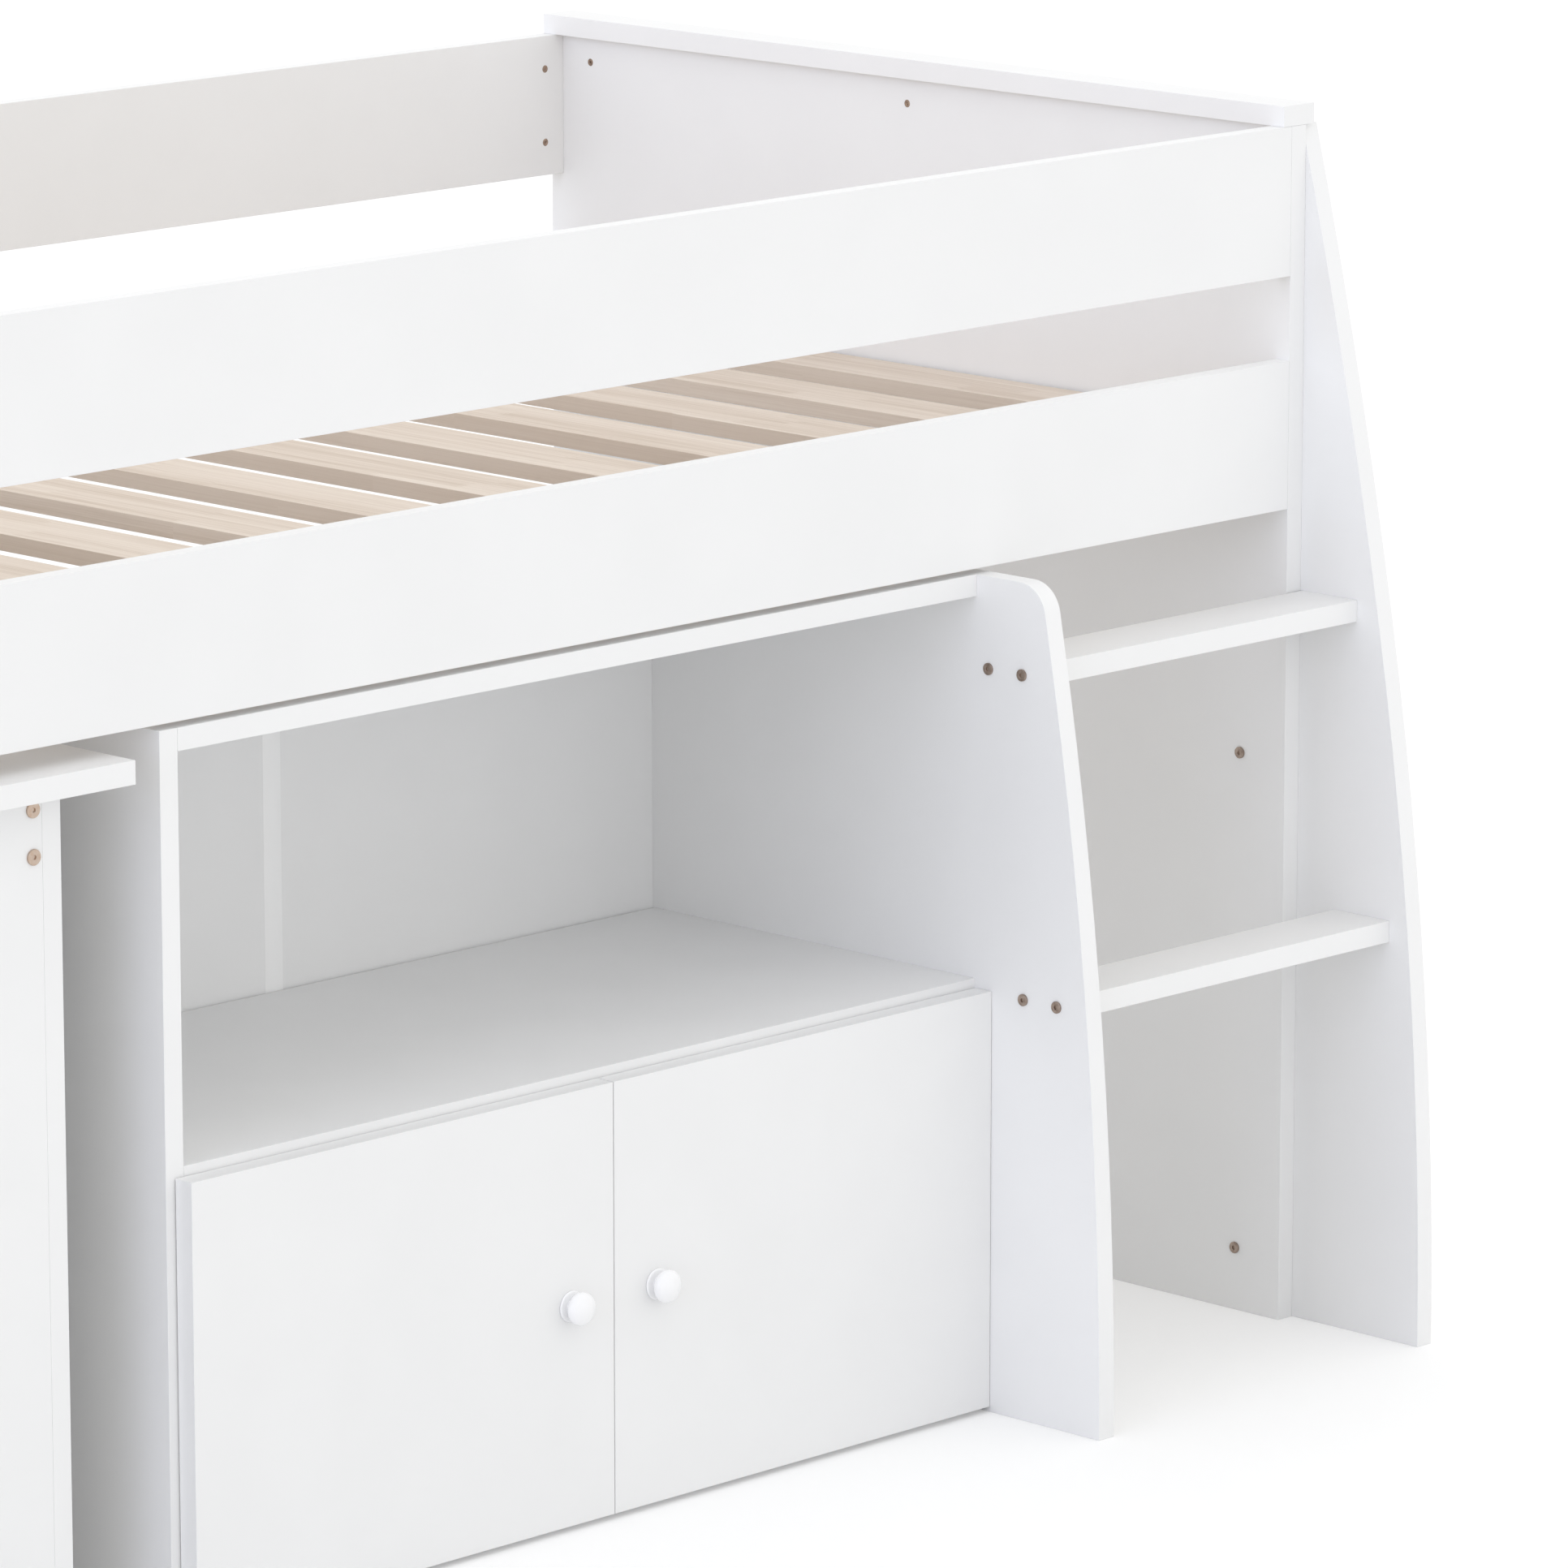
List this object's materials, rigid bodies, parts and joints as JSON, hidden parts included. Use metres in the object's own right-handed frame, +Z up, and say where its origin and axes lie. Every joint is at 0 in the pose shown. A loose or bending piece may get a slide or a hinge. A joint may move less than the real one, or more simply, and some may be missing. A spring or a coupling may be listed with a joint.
{
  "type": "cabin bed with cupboard, ladder and pull-out desk",
  "caption": "Mid-height single bed on end panels with guard rails and a slatted base over a two-door cupboard, an open shelf, a side ladder and a pull-out desk on castors.",
  "frame": {"origin": "on the floor, in the middle of the outline seen from above", "axes": "+X to the right along the bed, seen from the side with the ladder and the doors; +Y to the back; +Z up"},
  "size_m": [1.9794, 1.0862, 1.1045],
  "materials": {
    "white_board": "white melamine foil on particle board, satin",
    "door_board": "white melamine foil on particle board, satin",
    "beech": "planed and finger-jointed, unfinished",
    "bronze_steel": "bronze-plated steel, satin",
    "zinc_steel": "zinc-plated steel",
    "nickel_steel": "nickel-plated pressed steel",
    "white_plastic": "moulded, glossy",
    "white_strip": "extruded, satin",
    "grey_tread": "moulded, soft tread"
  },
  "bodies": {
    "bed_frame": {"end_panel_left": "white_board", "end_panel_right": "white_board", "cap_rail_left": "white_board", "cap_rail_right": "white_board", "guard_rail_front": "white_board", "guard_rail_back": "white_board", "side_rail_front": "white_board", "side_rail_back": "white_board", "slat_bearers": "beech", "slats": "beech", "slat_base_screws": "zinc_steel", "ladder_stile": "white_board", "rung_upper": "white_board", "rung_lower": "white_board", "rung_bolts": "bronze_steel", "rung_barrel_nuts": "zinc_steel", "stile_bolts": "bronze_steel", "stile_sleeve_nuts": "bronze_steel", "unit_side_left": "white_board", "unit_side_ladder": "white_board", "unit_top": "white_board", "unit_shelf": "white_board", "unit_bottom": "white_board", "unit_back_left": "white_board", "unit_back_right": "white_board", "back_joining_strip": "white_strip", "back_nails": "zinc_steel", "cam_locks": "bronze_steel", "cam_bolts": "zinc_steel", "wood_dowels": "beech", "hinge_plates": "nickel_steel", "hinge_arms": "nickel_steel", "hinge_plate_screws": "nickel_steel"},
    "left_door": {"door_left": "door_board", "knob_left": "white_plastic", "knob_screw_left": "zinc_steel", "hinge_cups_left": "nickel_steel", "cup_screws_left": "nickel_steel"},
    "right_door": {"door_right": "door_board", "knob_right": "white_plastic", "knob_screw_right": "zinc_steel", "hinge_cups_right": "nickel_steel", "cup_screws_right": "nickel_steel"},
    "left_links": {"hinge_links_left": "nickel_steel"},
    "right_links": {"hinge_links_right": "nickel_steel"},
    "desk": {"desk_top": "white_board", "desk_front_panel": "white_board", "desk_rear_panel": "white_board", "desk_returns": "white_board", "desk_aprons": "white_board", "desk_bolts": "bronze_steel", "desk_barrel_nuts": "zinc_steel", "desk_dowels": "beech", "castor_brackets": "zinc_steel", "castor_axles": "zinc_steel", "castor_screws": "zinc_steel"},
    "wheel_front_left": {"castor_wheel_front_left": "grey_tread"},
    "wheel_front_right": {"castor_wheel_front_right": "grey_tread"},
    "wheel_rear_left": {"castor_wheel_rear_left": "grey_tread"},
    "wheel_rear_right": {"castor_wheel_rear_right": "grey_tread"}
  },
  "joints": [
    {"name": "door_left_hinge", "type": "hinge", "parent": "bed_frame", "child": "left_door", "pos_m": [-0.36795, -0.4142, 0.19075], "axis": [0, 0, -1], "range_deg": [0, 95]},
    {"name": "door_right_hinge", "type": "hinge", "parent": "bed_frame", "child": "right_door", "pos_m": [0.54235, -0.4142, 0.19075], "axis": [0, 0, 1], "range_deg": [0, 90]},
    {"name": "links_left_turn", "type": "hinge", "parent": "bed_frame", "child": "left_links", "pos_m": [-0.36795, -0.4142, 0.19075], "axis": [0, 0, -1], "range_deg": [0, 50]},
    {"name": "links_right_turn", "type": "hinge", "parent": "bed_frame", "child": "right_links", "pos_m": [0.54235, -0.4142, 0.19075], "axis": [0, 0, 1], "range_deg": [0, 50]},
    {"name": "desk_slide", "type": "slide", "parent": "bed_frame", "child": "desk", "axis": [0, -1, 0], "range_m": [0, 0.65]},
    {"name": "wheel_front_left_roll", "type": "hinge", "parent": "desk", "child": "wheel_front_left", "pos_m": [-0.84755, -0.3379, 0.02], "axis": [1, 0, 0], "range_deg": [0, 1868]},
    {"name": "wheel_front_right_roll", "type": "hinge", "parent": "desk", "child": "wheel_front_right", "pos_m": [-0.50315, -0.3379, 0.02], "axis": [1, 0, 0], "range_deg": [0, 1868]},
    {"name": "wheel_rear_left_roll", "type": "hinge", "parent": "desk", "child": "wheel_rear_left", "pos_m": [-0.84755, 0.3601, 0.02], "axis": [1, 0, 0], "range_deg": [0, 1868]},
    {"name": "wheel_rear_right_roll", "type": "hinge", "parent": "desk", "child": "wheel_rear_right", "pos_m": [-0.50315, 0.3601, 0.02], "axis": [1, 0, 0], "range_deg": [0, 1868]}
  ],
  "couplings": [
    {"joint": "links_left_turn", "follows": "door_left_hinge", "ratio": 0.5},
    {"joint": "links_right_turn", "follows": "door_right_hinge", "ratio": 0.5},
    {"joint": "wheel_front_left_roll", "follows": "desk_slide", "rad_per_m": 50},
    {"joint": "wheel_front_right_roll", "follows": "desk_slide", "rad_per_m": 50},
    {"joint": "wheel_rear_left_roll", "follows": "desk_slide", "rad_per_m": 50},
    {"joint": "wheel_rear_right_roll", "follows": "desk_slide", "rad_per_m": 50}
  ]
}
